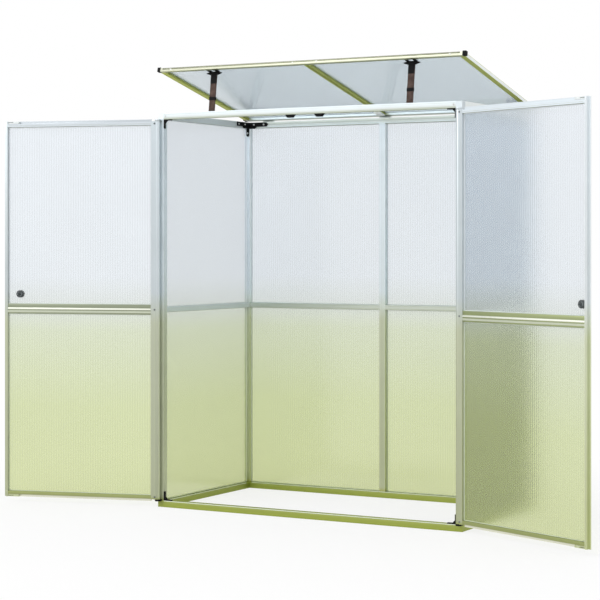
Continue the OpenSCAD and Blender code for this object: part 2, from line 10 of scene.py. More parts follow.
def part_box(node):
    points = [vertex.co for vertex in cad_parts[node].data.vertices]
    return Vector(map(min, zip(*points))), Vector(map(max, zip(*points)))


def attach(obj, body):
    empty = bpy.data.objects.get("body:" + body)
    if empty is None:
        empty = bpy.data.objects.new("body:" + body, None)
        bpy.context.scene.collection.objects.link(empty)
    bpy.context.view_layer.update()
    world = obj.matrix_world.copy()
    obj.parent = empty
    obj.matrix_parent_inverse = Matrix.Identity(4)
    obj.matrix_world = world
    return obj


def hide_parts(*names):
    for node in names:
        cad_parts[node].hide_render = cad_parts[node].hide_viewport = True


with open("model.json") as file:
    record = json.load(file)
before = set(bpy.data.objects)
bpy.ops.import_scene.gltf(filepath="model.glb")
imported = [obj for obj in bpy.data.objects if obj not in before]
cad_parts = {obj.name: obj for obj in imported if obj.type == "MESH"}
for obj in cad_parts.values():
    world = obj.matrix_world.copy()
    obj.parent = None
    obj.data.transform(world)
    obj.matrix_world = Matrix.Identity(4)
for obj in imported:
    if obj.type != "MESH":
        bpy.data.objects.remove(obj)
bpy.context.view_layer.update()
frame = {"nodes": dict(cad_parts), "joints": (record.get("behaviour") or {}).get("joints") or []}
nodes = frame["nodes"]
joints = {joint["name"]: joint for joint in frame["joints"]}
mm = 0.001
weldDistance = 1e-5  # m
times = {"operation": "MULTIPLY"}  # the setting of a Math node
print("model loaded:", len(nodes), "nodes")


# small helpers

def hexColour(text):
    def linear(value):
        return value / 12.92 if value <= 0.04045 else ((value + 0.055) / 1.055) ** 2.4
    return tuple(linear(int(text[i:i + 2], 16) / 255) for i in (0, 2, 4)) + (1.0,)


# a node given as an input stands for its first output
def addNode(tree, kind, settings=None, inputs=None):
    node = tree.nodes.new(kind)
    for name, value in (settings or {}).items():
        setattr(node, name, value)
    for key, value in (inputs or {}).items():
        if isinstance(value, bpy.types.Node):
            value = value.outputs[0]
        if isinstance(value, bpy.types.NodeSocket):
            tree.links.new(value, node.inputs[key])
        else:
            node.inputs[key].default_value = value
    return node


# the inputs of a Map Range node that turns one span into another
def spans(value, before, after=(0, 1)):
    return {"Value": value, "From Min": before[0], "From Max": before[1],
            "To Min": after[0], "To Max": after[1]}


# an empty material, its tree, and the object coordinates in it
def newMaterial(name):
    material = bpy.data.materials.new(name)
    material.use_nodes = True
    tree = material.node_tree
    tree.nodes.clear()
    return material, tree, addNode(tree, "ShaderNodeTexCoord").outputs["Object"]


def newObject(name, mesh):
    piece = bpy.data.objects.new(name, mesh)
    bpy.context.scene.collection.objects.link(piece)
    return piece


def placed(mesh, matrix):
    mesh.transform(matrix)
    if matrix.determinant() < 0:  # a mirrored place turns the faces inside out
        mesh.flip_normals()
    return mesh


def joinMeshes(name, meshes):
    joined = bmesh.new()
    materials = []
    for mesh in meshes:
        for material in mesh.materials:
            if material not in materials:
                materials.append(material)
        before = len(joined.faces)
        joined.from_mesh(mesh)
        joined.faces.ensure_lookup_table()
        slots = [materials.index(material) for material in mesh.materials]
        for face in joined.faces[before:]:
            face.material_index = slots[min(face.material_index, len(slots) - 1)]
        bpy.data.meshes.remove(mesh)
    result = bpy.data.meshes.new(name)
    joined.to_mesh(result)
    joined.free()
    for material in materials:
        result.materials.append(material)
    return result


def paint(mesh, material):
    mesh.materials.clear()
    mesh.materials.append(material)
    return mesh


def smoothPiece(name, meshes, degrees=35):
    piece = newObject(name, joinMeshes(name, meshes))
    piece.data.set_sharp_from_angle(angle=math.radians(degrees))
    for face in piece.data.polygons:
        face.use_smooth = True
    return piece


def boxMesh(low, high, bevel):
    shape = bmesh.new()
    bmesh.ops.create_cube(shape, size=1)
    size = [high[i] - low[i] for i in range(3)]
    middle = [(high[i] + low[i]) / 2 for i in range(3)]
    bmesh.ops.scale(shape, vec=size, verts=shape.verts)
    bmesh.ops.translate(shape, vec=middle, verts=shape.verts)
    bmesh.ops.bevel(shape, geom=shape.edges[:], offset=bevel, segments=2, affect="EDGES",
                    profile=0.5)
    mesh = bpy.data.meshes.new("box")
    shape.to_mesh(mesh)
    shape.free()
    return mesh


# closed turned shape from (radius, height) points, about local Z
def turnedMesh(profile, segments=40):
    shape = bmesh.new()
    turns = [2 * math.pi * i / segments for i in range(segments)]
    rings = []
    for radius, height in profile:
        if radius == 0:
            rings.append([shape.verts.new((0, 0, height))])
        else:
            rings.append([shape.verts.new((radius * math.cos(a), radius * math.sin(a), height))
                          for a in turns])
    for lower, upper in zip(rings, rings[1:]):
        for i in range(segments):
            j = (i + 1) % segments
            corners = [lower[i % len(lower)], lower[j % len(lower)],
                       upper[j % len(upper)], upper[i % len(upper)]]
            unique = list(dict.fromkeys(corners))
            if len(unique) > 2:
                shape.faces.new(unique)
    bmesh.ops.recalc_face_normals(shape, faces=shape.faces)
    mesh = bpy.data.meshes.new("turned")
    shape.to_mesh(mesh)
    shape.free()
    return mesh


# boxes of the separate solids of a node, in the frame that matrix leads out of
def partBoxes(nodeName, matrix):
    shape = bmesh.new()
    shape.from_mesh(nodes[nodeName].data)
    bmesh.ops.remove_doubles(shape, verts=shape.verts, dist=weldDistance)
    shape.transform(matrix.inverted())
    seen, boxes = set(), []
    for start in shape.verts:
        if start in seen:
            continue
        stack, part = [start], []
        seen.add(start)
        while stack:
            vert = stack.pop()
            part.append(vert.co.copy())
            for edge in vert.link_edges:
                other = edge.other_vert(vert)
                if other not in seen:
                    seen.add(other)
                    stack.append(other)
        boxes.append([Vector([end(p[i] for p in part) for i in range(3)]) for end in (min, max)])
    shape.free()
    return sorted(boxes, key=lambda box: [round(box[0][i], 3) for i in (2, 0, 1)])


# local frames: a door runs along +X from its hinge, and its inner face looks to +Y when it is shut
def doorPlace(side):
    joint = joints[side + "_door_hinge"]
    opened = math.radians(-joint["range_deg"][0])
    turn = Matrix.Rotation(opened * joint["axis"][2], 4, "Z")
    place = Matrix.Translation(joint["pos_m"]) @ turn
    place.translation.z = 0
    return place if side == "left" else place @ Matrix.Scale(-1, 4, (1, 0, 0))


# the lid as it lies when shut
def lidPlace():
    joint = joints["lid_hinge"]
    pivot = Matrix.Translation(joint["pos_m"])
    return pivot @ Matrix.Rotation(math.radians(-joint["range_deg"][1]), 4, "X") @ pivot.inverted()


world = Matrix.Identity(4)
leftDoor, rightDoor, lidShut = doorPlace("left"), doorPlace("right"), lidPlace()
doors = {"left": leftDoor, "right": rightDoor}


# camera

camera = {
    "place": (3.953, -7.034, 1.203),
    "turn": (90, 0, 29.33),  # degrees
    "lens": 110.5,
    "sensor": 36,
    "shift": (-0.0083, -0.0937),
}
cameraData = bpy.data.cameras.new("camera")
cameraData.lens = camera["lens"]
cameraData.sensor_width = camera["sensor"]
cameraData.shift_x, cameraData.shift_y = camera["shift"]
cameraObject = newObject("camera", cameraData)
cameraObject.location = camera["place"]
cameraObject.rotation_euler = [math.radians(angle) for angle in camera["turn"]]
bpy.context.scene.camera = cameraObject
bpy.context.scene.view_settings.view_transform = "Standard"


# studio: a pale floor, a white surround and two soft lamps

studio = {
    "surround": 0.85,
    "floorSize": 60,
    "floorColour": "F2F2F2",
    "floorShadow": 0.22,
    "shadowReach": (1.3, 2.8),  # m from the middle, where the shadow starts to fade and ends
    "aim": (0, 0.3, 0.9),
    "lamps": {  # power, size, place
        "key": (190, 4.5, (-3.5, -5.5, 5.0)),
        "fill": (70, 4.0, (5.5, -3.5, 3.5)),
    },
}


# 1 where the camera, a reflection or a pane of glass looks, 0 where light is gathered
def seenDirectly(tree):
    rays = addNode(tree, "ShaderNodeLightPath")
    seen = addNode(tree, "ShaderNodeMath", {"operation": "ADD", "use_clamp": True},
                   {0: rays.outputs["Is Camera Ray"], 1: rays.outputs["Is Glossy Ray"]})
    return addNode(tree, "ShaderNodeMath", {"operation": "ADD", "use_clamp": True},
                   {0: seen, 1: rays.outputs["Is Transmission Ray"]}).outputs[0]


def makeStudio(look):
    surround = bpy.data.worlds.new("surround")
    bpy.context.scene.world = surround
    surround.use_nodes = True
    tree = surround.node_tree
    tree.nodes.clear()
    strength = addNode(tree, "ShaderNodeMapRange", None,
                       spans(seenDirectly(tree), (0, 1), (look["surround"], 1)))
    back = addNode(tree, "ShaderNodeBackground", None,
                   {"Color": (1, 1, 1, 1), "Strength": strength})
    addNode(tree, "ShaderNodeOutputWorld", None, {"Surface": back})

    material, tree, spot = newMaterial("matt white studio floor")
    away = addNode(tree, "ShaderNodeVectorMath", {"operation": "LENGTH"}, {0: spot})
    white = addNode(tree, "ShaderNodeMapRange", {"interpolation_type": "SMOOTHSTEP"},
                    spans(away.outputs["Value"], look["shadowReach"], (1 - look["floorShadow"], 1)))
    share = addNode(tree, "ShaderNodeMath", times, {0: seenDirectly(tree), 1: white})
    matt = addNode(tree, "ShaderNodeBsdfDiffuse", None, {"Color": hexColour(look["floorColour"])})
    glow = addNode(tree, "ShaderNodeEmission", None, {"Color": (1, 1, 1, 1), "Strength": 1.0})
    mixed = addNode(tree, "ShaderNodeMixShader", None, {0: share, 1: matt, 2: glow})
    addNode(tree, "ShaderNodeOutputMaterial", None, {"Surface": mixed})
    half = look["floorSize"] / 2
    corners = [(-half, -half, 0), (half, -half, 0), (half, half, 0), (-half, half, 0)]
    mesh = bpy.data.meshes.new("floor")
    mesh.from_pydata(corners, [], [(0, 1, 2, 3)])
    floor = newObject("floor", paint(mesh, material))

    for name, (power, size, place) in look["lamps"].items():
        lamp = bpy.data.lights.new(name, "AREA")
        lamp.energy, lamp.size = power, size
        lampObject = newObject(name, lamp)
        lampObject.location = place
        aim = Vector(look["aim"]) - lampObject.location
        lampObject.rotation_euler = aim.to_track_quat("-Z", "Y").to_euler()


makeStudio(studio)
print("studio ready")


# materials: every look's heights are in m from the ground, with one colour to each

finish = {}
up, across, deep = (0, 0, 1), (1, 0, 0), (0, 1, 0)
noiseSpan = (0.3, 0.7)  # where most of a noise texture's values lie


def heightColour(tree, place, look):
    height = addNode(tree, "ShaderNodeSeparateXYZ", None, {0: place})
    bottom, top = look["heights"][0], look["heights"][-1]
    share = addNode(tree, "ShaderNodeMapRange", None, spans(height.outputs[2], (bottom, top)))
    ramp = addNode(tree, "ShaderNodeValToRGB", None, {0: share})
    stops = ramp.color_ramp.elements
    while len(stops) < len(look["heights"]):
        stops.new(0.5)
    for stop, at, colour in zip(stops, look["heights"], look["colours"].split()):
        stop.position = (at - bottom) / (top - bottom)
        stop.color = hexColour(colour)
    return ramp


# Mill-finish extruded aluminium: pale, silky metal with fine die lines along the bar. Low down and
# on its undersides its colour is a painted reflection of a green lawn.
aluminiumLook = {
    "heights": (0.0, 0.032, 0.05, 0.84, 0.98, 1.75),
    "colours": "98A348 A7B064 B9BE9E C0C5AC C8D0D2 CCD4D8",
    # the under colour: a painted reflection of a lawn on faces that look down
    "under": "A7AE7C",  # faces that look down
    "paintedReflectionSlope": (-0.15, -0.75),  # how far down a face looks where that starts and is full
    "paintedReflectionShare": 0.9,
    # side: a painted highlight on the faces turned towards one direction
    "side": (across, 1.0),  # a direction, and how much brighter the faces towards it are
    "paintedHighlightSlope": (0.2, 0.8),
    "lineSpacing": 5.0,  # mm; real die lines are finer, drawn coarse enough to show
    "lineStretch": 300,  # how many times longer than wide a line is
    "lineShade": (0.92, 1.02),
    "lineRelief": 0.05,  # mm
    "lineBump": 0.35,
    "bloomScale": 7.0,
    "bloomShade": (0.96, 1.0),
    "roughness": (0.43, 0.56),
}


# direction is the bar's own, in Object coordinates
def extrudedAluminium(name, direction, look):
    material, tree, place = newMaterial(name)
    turn = Vector(direction).to_track_quat("Z", "Y").to_euler()
    along = addNode(tree, "ShaderNodeMapping", {"vector_type": "TEXTURE"},
                    {"Vector": place, "Rotation": turn})
    scale = 1000 / look["lineSpacing"]
    lines = addNode(tree, "ShaderNodeMapping", None,
                    {"Vector": along, "Scale": (scale, scale, scale / look["lineStretch"])})
    die = addNode(tree, "ShaderNodeTexNoise", None,
                  {"Vector": lines, "Scale": 1.0, "Detail": 3.0, "Roughness": 0.6})
    bloom = addNode(tree, "ShaderNodeTexNoise", None,
                    {"Vector": place, "Scale": look["bloomScale"], "Detail": 4.0})
    facing = addNode(tree, "ShaderNodeNewGeometry")
    faceZ = addNode(tree, "ShaderNodeSeparateXYZ", None, {0: facing.outputs["Normal"]})
    # a painted reflection of a lawn on the faces that look down
    under = addNode(tree, "ShaderNodeMapRange", None,
                    spans(faceZ.outputs[2], look["paintedReflectionSlope"], (0, look["paintedReflectionShare"])))
    withPaintedReflection = addNode(tree, "ShaderNodeMix", {"data_type": "RGBA"},
                    {0: under, 6: heightColour(tree, place, look), 7: hexColour(look["under"])})
    streak = addNode(tree, "ShaderNodeMapRange", None, spans(die, noiseSpan, look["lineShade"]))
    patch = addNode(tree, "ShaderNodeMapRange", None, spans(bloom, noiseSpan, look["bloomShade"]))
    shade = addNode(tree, "ShaderNodeMath", times, {0: streak, 1: patch})
    # a painted highlight on the faces turned towards the look's side
    highlightSide, highlightGain = look["side"]
    normal = addNode(tree, "ShaderNodeTexCoord").outputs["Normal"]
    turned = addNode(tree, "ShaderNodeVectorMath", {"operation": "DOT_PRODUCT"},
                     {0: normal, 1: highlightSide})
    paintedHighlight = addNode(tree, "ShaderNodeMapRange", None,
                  spans(turned.outputs["Value"], look["paintedHighlightSlope"], (1, highlightGain)))
    bright = addNode(tree, "ShaderNodeMath", times, {0: shade, 1: paintedHighlight})
    colour = addNode(tree, "ShaderNodeVectorMath", {"operation": "SCALE"},
                     {0: withPaintedReflection.outputs[2], "Scale": bright})
    rough = addNode(tree, "ShaderNodeMapRange", None, spans(die, noiseSpan, look["roughness"]))
    bump = addNode(tree, "ShaderNodeBump", None,
                   {"Strength": look["lineBump"], "Distance": look["lineRelief"] * mm,
                    "Height": die})
    metal = addNode(tree, "ShaderNodeBsdfPrincipled", None,
                    {"Base Color": colour, "Metallic": 1.0, "Roughness": rough, "Normal": bump})
    addNode(tree, "ShaderNodeOutputMaterial", None, {"Surface": metal})
    return material


alongLeft, alongRight = (place.to_3x3() @ Vector(across) for place in doors.values())
alongLid = lidShut.to_3x3() @ Vector(deep)
stileHeights, bandHeights, lidHeights = (0.03, 0.84, 0.98, 1.75), (0.87, 0.93), (1.80, 2.02)
doorHeights = (0.027, 0.038, 0.040, 0.054, 0.86, 0.94, 1.74)

# the bars' finishes: name, direction, and what differs from the plain look
barLooks = {
    "upright": ("extruded aluminium upright", up, {}),
    "across": ("extruded aluminium across", across, {}),
    "deep": ("extruded aluminium deep", deep, {}),
    # the header's face painted darker towards its bottom edge: a painted reflection of the ground
    "header": ("extruded aluminium header", across, {
        "heights": (1.771, 1.775, 1.781, 1.795), "colours": "A8ADA0 B8BEB4 CBD1D0 DAE2E6"}),
    # the darker stripe along the rear rail's face is a painted shade line
    "rearRail": ("extruded aluminium rear rail", across, {
        "heights": (1.773, 1.784, 1.787, 1.790, 1.800),
        "colours": "DCE4E6 D8DEDA B4BAB6 D2D8D0 E4E8E2"}),
    # door rails: the lime band low down is a painted reflection of a lawn; higher up the right
    # door's rails are painted lighter than the left's, painted light and shade
    "leftDoor": ("extruded aluminium left door", alongLeft, {
        "heights": doorHeights, "colours": "EAEAD6 EDEDDE 9CA26C A6AE76 BFC4AC C4CABF C4CBD0"}),
    "rightDoor": ("extruded aluminium right door", alongRight, {
        "heights": doorHeights, "colours": "EAEAD6 EDEDDE 9CA26C A6AE76 C4C9B0 D2D8CC DDE5EA"}),
    # the right door's free stile: a lighter copy, painted light
    "freeStile": ("extruded aluminium free stile", up, {
        "heights": stileHeights, "colours": "CFD5A8 D6DCC2 E2E7E8 E6ECEF"}),
    # a painted highlight along the middle rails
    "paintedHighlightRib": ("painted_highlight aluminium rib", alongLeft, {
        "heights": bandHeights, "colours": "F2F4E6 F4F6EA"}),
    # the middle rails' recessed bands: painted shade, on the right door with a painted reflection
    # of a lawn
    "leftBand": ("shaded aluminium left door", alongLeft, {
        "heights": bandHeights, "colours": "959C84 989F8A"}),
    "rightBand": ("shaded aluminium right door", alongRight, {
        "heights": bandHeights, "colours": "9FA87C A5AE82"}),
    # the left front post: a paler copy with a painted highlight towards one side
    "hingePost": ("extruded aluminium hinge post", up, {
        "roughness": (0.61, 0.74), "side": (across, 1.18),
        "colours": "A0AA58 A4AD64 C6CBB2 D0D5C2 E2E9EC E8EFF3"}),
    # the left door's free stile: a darker copy, painted shade
    "leftStile": ("extruded aluminium left free stile", up, {
        "heights": stileHeights, "colours": "BAC0A0 BDC3AA BCC3C4 C0C8CB"}),
    # the left door's round hinge column: a painted highlight on its side towards the post
    "hingeSide": ("extruded aluminium hinge side", up, {
        "roughness": (0.61, 0.74), "side": ((0.96, 0.27, 0), 1.4),
        "colours": "A0AA58 A4AD64 B6BBA2 BEC3B0 C7CED1 CCD4D8"}),
    # a lighter copy for rails and hinges that lie in the lid's shade: painted light
    "paintedLightRail": ("extruded aluminium pale rail", across, {
        "heights": (1.76, 1.84), "colours": "E6EBEA F0F4F4", "under": "DDE2DA"}),
    # the rear posts: a painted highlight on the faces towards one side
    "rearPost": ("extruded aluminium rear post", up, {
        "side": (across, 1.45),
        "colours": "A9AD62 ADB06E B9BE9E C2C7AF D4DCDF DAE2E6"}),
    "midRail": ("extruded aluminium side mid rail", deep, {
        "heights": (0.88, 0.93), "colours": "E2EAE8 ECF4F8", "under": "D8E0D8"}),
    "seam": ("shaded aluminium seam", up, {
        "heights": stileHeights, "colours": "7E8470 868C7C 8E9498 969EA2"}),
    # is a painted reflection of a lawn
    # the lid's dark lines are painted shade; the lime and olive of its bars, seen from below,
    "lidLine": ("shaded aluminium lid line", across, {
        "heights": lidHeights, "colours": "5C604A 62664E", "under": "6A6E54"}),
    "lidAcross": ("extruded aluminium lid across", across, {
        "heights": lidHeights, "colours": "CDD2CC D0D2BC", "under": "B9BD94"}),
    "lidDeep": ("extruded aluminium lid deep", alongLid, {
        "heights": lidHeights, "colours": "B8BE68 C0C670", "under": "B4BC50"}),
    "lidCore": ("shaded aluminium lid core", alongLid, {
        "heights": lidHeights, "colours": "8A9044 949A4A", "under": "868C3C"}),
}
for key, (name, direction, changes) in barLooks.items():
    finish[key] = extrudedAluminium(name, direction, {**aluminiumLook, **changes})


# Extruded polycarbonate twin-wall sheet, frosted: milky, lets white light through and blurs what is
# behind. Lower down they turn yellow-green: a painted reflection of a lawn seen in and through
# them.
sheetLook = {
    "heights": (0.03, 0.45, 0.80, 0.93, 1.05, 1.75),
    "colours": "DFE6B4 DEE6B9 E1E8CF E8EDEB EEF3F7 F0F5FA",
    "haze": 0.13,
    "lines": 0.08,  # how much darker the sheet is along the bottom of each flute
    "cloudScale": 3.0,
    "cloudShade": (0.98, 1.0),
    "roughness": (0.155, 0.175),
    "ior": 1.585,
}


def twinWallSkin(name, look):
    material, tree, place = newMaterial(name)
    tint = heightColour(tree, place, look)
    cloud = addNode(tree, "ShaderNodeTexNoise", None,
                    {"Vector": place, "Scale": look["cloudScale"], "Detail": 3.0})
    clouded = addNode(tree, "ShaderNodeMapRange", None, spans(cloud, noiseSpan, look["cloudShade"]))
    flute = addNode(tree, "ShaderNodeAttribute", {"attribute_name": "flute"})
    lined = addNode(tree, "ShaderNodeMapRange", None,
                    spans(flute.outputs["Fac"], (-1, 1), (1 - look["lines"], 1)))
    both = addNode(tree, "ShaderNodeMath", times, {0: clouded, 1: lined})
    colour = addNode(tree, "ShaderNodeVectorMath", {"operation": "SCALE"}, {0: tint, "Scale": both})
    rough = addNode(tree, "ShaderNodeMapRange", None, spans(cloud, noiseSpan, look["roughness"]))
    skin = addNode(tree, "ShaderNodeBsdfPrincipled", None,
                   {"Base Color": colour, "Roughness": rough,
                    "IOR": look["ior"], "Transmission Weight": 1 - look["haze"]})
    through = addNode(tree, "ShaderNodeBsdfTransparent", None, {"Color": colour})
    rays = addNode(tree, "ShaderNodeLightPath")
    mixed = addNode(tree, "ShaderNodeMixShader", None,
                    {0: rays.outputs["Is Shadow Ray"], 1: skin, 2: through})
    addNode(tree, "ShaderNodeOutputMaterial", None, {"Surface": mixed})
    return material


finish["sheet"] = twinWallSkin("frosted polycarbonate skin", sheetLook)
# the right wall's skin, darker and greener: painted shade and a painted reflection of a lawn
finish["shadedSheet"] = twinWallSkin("frosted polycarbonate shaded skin", {
    **sheetLook, "colours": "909C2C 99A43E AEB87C C2CCC8 C8D5DF CFDCE6"})
finish["lidSheet"] = twinWallSkin("frosted polycarbonate roof skin", {
    **sheetLook, "heights": (1.78, 2.04), "colours": "DEE9EF E1ECF2", "haze": 0.12})


# Pale co-extruded glazing bead: a soft, almost white line where a sheet meets its bar
# greener towards the bottom: a painted reflection of a lawn
beadLook = {
    "heights": stileHeights,
    "colours": "DEE5D0 E2E9DA E9F0F3 F0F6FA",
    "grainScale": 60.0,
    "grainShade": (0.95, 1.0),
    "roughness": (0.5, 0.6),
    "ior": 1.53,
}


def glazingVinyl(name, look):
    material, tree, place = newMaterial(name)
    grain = addNode(tree, "ShaderNodeTexNoise", None,
                    {"Vector": place, "Scale": look["grainScale"], "Detail": 2.0})
    shade = addNode(tree, "ShaderNodeMapRange", None, spans(grain, noiseSpan, look["grainShade"]))
    colour = addNode(tree, "ShaderNodeVectorMath", {"operation": "SCALE"},
                     {0: heightColour(tree, place, look), "Scale": shade})
    rough = addNode(tree, "ShaderNodeMapRange", None, spans(grain, noiseSpan, look["roughness"]))
    vinyl = addNode(tree, "ShaderNodeBsdfPrincipled", None,
                    {"Base Color": colour, "Roughness": rough, "IOR": look["ior"]})
    addNode(tree, "ShaderNodeOutputMaterial", None, {"Surface": vinyl})
    return material


finish["bead"] = glazingVinyl("pale glazing vinyl", beadLook)


# Injection-moulded plastic: matt with a fine spark-eroded texture and slightly worn, paler spots
plasticLook = {
    "wearScale": 45.0,
    "wearSlope": (0.35, 0.75),
    "bump": 0.4,
    "relief": 0.15,  # mm
    "roughnessSpread": 0.06,
    "ior": 1.49,
    "specular": 0.18,
}
# name, colour, worn colour, roughness, grain in mm
plastics = {
    "blackNylon": ("black glass-filled nylon", "060607", "0D0E0F", 0.68, 0.9),
    "paleNylon": ("pale grey nylon", "D3D9D9", "E6EBEB", 0.5, 0.9),
    "whiteNylon": ("white nylon", "EEF1F1", "F7F9F9", 0.45, 0.9),
    "lawnReflectionNylon": ("grey-green nylon", "B2B88C", "CBD0B0", 0.45, 0.9),
    "smokeNylon": ("smoke grey nylon", "434849", "555A5A", 0.6, 0.9),
    # the knobs' pale inlays: painted highlights
    "knobHighlightNylon": ("grey nylon painted highlight", "62686A", "767C7E", 0.5, 0.9),
    "strap": ("brown polypropylene strap", "3E302B", "5C4A43", 0.6, 1.2),
}


def mouldedPlastic(name, plain, worn, roughness, grainSize, look):
    material, tree, place = newMaterial(name)
    grain = addNode(tree, "ShaderNodeTexNoise", None,
                    {"Vector": place, "Scale": 1000 / grainSize, "Detail": 2.0})
    wear = addNode(tree, "ShaderNodeTexNoise", None,
                   {"Vector": place, "Scale": look["wearScale"], "Detail": 5.0})
    share = addNode(tree, "ShaderNodeMapRange", None, spans(wear, look["wearSlope"]))
    colour = addNode(tree, "ShaderNodeMix", {"data_type": "RGBA"},
                     {0: share, 6: hexColour(plain), 7: hexColour(worn)})
    ends = roughness - look["roughnessSpread"], roughness + look["roughnessSpread"]
    rough = addNode(tree, "ShaderNodeMapRange", None, spans(grain, noiseSpan, ends))
    bump = addNode(tree, "ShaderNodeBump", None,
                   {"Strength": look["bump"], "Distance": look["relief"] * mm, "Height": grain})
    plastic = addNode(tree, "ShaderNodeBsdfPrincipled", None,
                      {"Base Color": colour.outputs[2], "Roughness": rough,
                       "IOR": look["ior"], "Specular IOR Level": look["specular"], "Normal": bump})
    addNode(tree, "ShaderNodeOutputMaterial", None, {"Surface": plastic})
    return material


for key, values in plastics.items():
    finish[key] = mouldedPlastic(*values, plasticLook)


# Zinc-plated steel screws: small, bright and slightly yellow in the hollows
zincLook = {"spangleScale": 600.0, "roughness": (0.22, 0.4)}
zincs = {
    "screwSteel": ("zinc-plated steel", "D8DADC", "B9BAB4"),
    "dullSteel": ("dull zinc-plated steel", "8A8F92", "6E7271"),
}


def zincSteel(name, pale, dark, look):
    material, tree, place = newMaterial(name)
    spangle = addNode(tree, "ShaderNodeTexNoise", None,
                      {"Vector": place, "Scale": look["spangleScale"], "Detail": 3.0})
    colour = addNode(tree, "ShaderNodeMix", {"data_type": "RGBA"},
                     {0: spangle, 6: hexColour(pale), 7: hexColour(dark)})
    rough = addNode(tree, "ShaderNodeMapRange", None, spans(spangle, (0, 1), look["roughness"]))
    metal = addNode(tree, "ShaderNodeBsdfPrincipled", None,
                    {"Base Color": colour.outputs[2], "Metallic": 1.0, "Roughness": rough})
    addNode(tree, "ShaderNodeOutputMaterial", None, {"Surface": metal})
    return material


for key, values in zincs.items():
    finish[key] = zincSteel(*values, zincLook)
print("materials ready")


# CAD nodes that keep their shape get their finish and softened edges

nodeFinishes = {
    "upright": ["front_right_post", "right_door_hinge_stile", "door_top_hinge_plates"],
    "rearPost": ["rear_left_post", "rear_right_post", "rear_middle_post"],
    "hingeSide": ["left_door_hinge_stile"],
    "hingePost": ["front_left_post"],
    "leftStile": ["left_door_free_stile"],
    "paintedLightRail": ["side_top_rails", "lid_rear_rail", "lid_hinge_leaves", "lid_hinge_knuckles"],
    "freeStile": ["right_door_free_stile"],
    "across": ["front_sill", "rear_sill", "rear_mid_rails"],
    "deep": ["left_sill", "right_sill"],
    "midRail": ["side_mid_rails"],
    "header": ["front_header"],
    "rearRail": ["rear_top_rail"],
    "leftDoor": ["left_door_rails"],
    "rightDoor": ["right_door_rails"],
    "lidAcross": ["lid_front_rail"],
    "lidDeep": ["lid_side_rails", "lid_middle_bar"],
    "blackNylon": ["rear_corner_brackets", "front_corner_gussets", "door_catches",
                   "door_hinge_plates", "lid_corner_caps", "lid_stay_brackets",
                   "left_stay_sleeves", "right_stay_sleeves"],
    "strap": ["left_stay_strap", "right_stay_strap"],
}
edgeShape = {"width": 0.4 * mm, "segments": 2, "fromAngle": 40}


def softenEdges(piece, look):
    weld = piece.modifiers.new("weld", "WELD")
    weld.merge_threshold = weldDistance
    bevel = piece.modifiers.new("bevel", "BEVEL")
    bevel.width = look["width"]
    bevel.segments = look["segments"]
    bevel.limit_method = "ANGLE"
    bevel.angle_limit = math.radians(look["fromAngle"])


for key, names in nodeFinishes.items():
    for name in names:
        paint(nodes[name].data, finish[key])
        softenEdges(nodes[name], edgeShape)
print("frame finished")


# geometry node trees, each run on its own into a plain mesh

def socketId(tree, name):
    return next(item.identifier for item in tree.interface.items_tree
                if item.item_type == "SOCKET" and item.in_out == "INPUT" and item.name == name)


def newGeometryTree(name, inputs):
    tree = bpy.data.node_groups.new(name, "GeometryNodeTree")
    for label, kind in inputs:
        tree.interface.new_socket(label, in_out="INPUT", socket_type="NodeSocket" + kind)
    tree.interface.new_socket("Geometry", in_out="OUTPUT", socket_type="NodeSocketGeometry")
    return tree, addNode(tree, "NodeGroupInput").outputs


def endTree(tree, geometry, material):
    real = addNode(tree, "GeometryNodeRealizeInstances", None, {0: geometry})
    painted = addNode(tree, "GeometryNodeSetMaterial", None,
                      {"Geometry": real, "Material": material})
    addNode(tree, "NodeGroupOutput", None, {0: painted})
    return tree


def treeMesh(tree, values, points=()):
    base = bpy.data.meshes.new("carrier")
    base.from_pydata([tuple(point) for point in points], [], [])
    carrier = newObject("carrier", base)
    modifier = carrier.modifiers.new("nodes", "NODES")
    modifier.node_group = tree
    for name, value in values.items():
        modifier[socketId(tree, name)] = value
    evaluated = carrier.evaluated_get(bpy.context.evaluated_depsgraph_get())
    mesh = bpy.data.meshes.new_from_object(evaluated)
    carrier.modifiers.remove(modifier)
    bpy.data.objects.remove(carrier)
    bpy.data.meshes.remove(base)
    return mesh


# a place on a face: X along the bar, Z out of the face
def onFace(spot, along, out):
    x, z = Vector(along).normalized(), Vector(out).normalized()
    turn = Matrix((x, z.cross(x), z)).transposed().to_4x4()
    return Matrix.Translation(spot) @ turn


# twin-wall sheets with shallow upright flutes, one to each hollow

sheetShape = {
    "pitch": 12 * mm,  # real flutes are closer, drawn as coarse as they need to show
    "relief": 0.06 * mm,
    "steps": 6,  # points across each flute
    "bite": 6 * mm,  # how far the bars' grooves cover a sheet's edge
}
gasketShape = {"radius": 2.2 * mm, "sunk": 0.7 * mm, "sides": 8}


